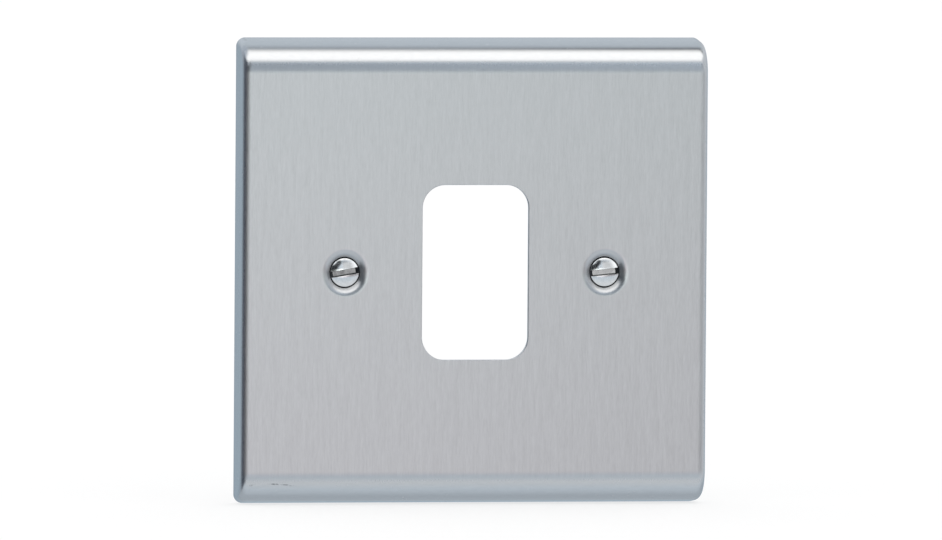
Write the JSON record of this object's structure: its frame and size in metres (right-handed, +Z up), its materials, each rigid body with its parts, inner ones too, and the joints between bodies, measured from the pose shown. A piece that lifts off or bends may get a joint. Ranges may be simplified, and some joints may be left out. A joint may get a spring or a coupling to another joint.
{
  "type": "grid switch plate",
  "caption": "Nearly square pressed metal wall plate with rolled top and bottom edges, a rounded aperture for a grid switch module, and captive slotted screws that fix it to its mounting frame.",
  "frame": {"origin": "middle of the plate on the wall plane, where the back rim lies and midway between the screw axes", "axes": "+Z up, +X to the right as seen from the front, front face towards -Y, screws run back along +Y"},
  "size_m": [0.086, 0.0172, 0.085],
  "materials": {
    "plate_metal": "stainless sheet, face brushed vertically, rolled edges satin",
    "screw_metal": "bright nickel-plated steel, polished dome",
    "washer_nylon": "natural nylon"
  },
  "bodies": {
    "plate": {"front_plate": "plate_metal"},
    "left_washer": {"left_retainer": "washer_nylon"},
    "left_fixing": {"left_screw": "screw_metal"},
    "right_washer": {"right_retainer": "washer_nylon"},
    "right_fixing": {"right_screw": "screw_metal"}
  },
  "joints": [
    {"name": "left_screw_travel", "type": "slide", "parent": "plate", "child": "left_washer", "axis": [0, -1, 0], "range_m": [0, 0.0022]},
    {"name": "left_screw_turn", "type": "hinge", "parent": "left_washer", "child": "left_fixing", "pos_m": [-0.024, 0, 0], "axis": [0, -1, 0], "continuous": true},
    {"name": "right_screw_travel", "type": "slide", "parent": "plate", "child": "right_washer", "axis": [0, -1, 0], "range_m": [0, 0.0022]},
    {"name": "right_screw_turn", "type": "hinge", "parent": "right_washer", "child": "right_fixing", "pos_m": [0.024, 0, 0], "axis": [0, -1, 0], "continuous": true}
  ]
}
